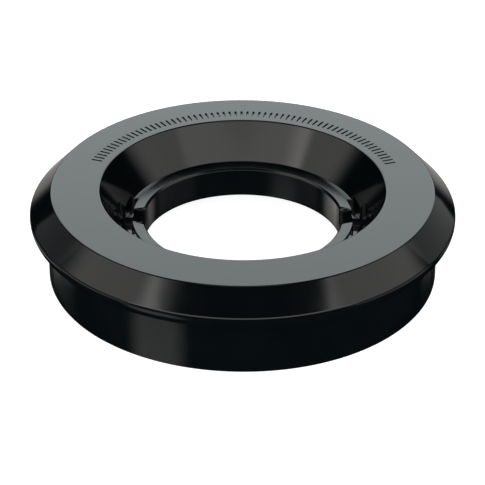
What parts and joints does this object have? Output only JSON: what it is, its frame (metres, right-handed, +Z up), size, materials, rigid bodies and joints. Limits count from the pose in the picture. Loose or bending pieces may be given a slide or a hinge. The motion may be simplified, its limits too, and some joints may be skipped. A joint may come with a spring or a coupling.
{
  "type": "garbage disposal splash cover",
  "caption": "Round black drop-in splash cover for a food-waste disposer throat: flat deck, sloping flange, funnel, notched throat ring and skirt.",
  "frame": {"origin": "centre of the circle that the foot of the skirt stands on", "axes": "+Z up the axis of the throat, out of the flat deck; +X and -X through the two slots of the throat ring; the front is -Y and the row of bars on the deck is at +Y"},
  "size_m": [0.1796, 0.1796, 0.039],
  "materials": {
    "black_moulding": "gloss black moulded plastic"
  },
  "bodies": {
    "root": {"cover_shell": "black_moulding", "skirt_collar": "black_moulding", "throat_ring": "black_moulding"}
  },
  "joints": []
}
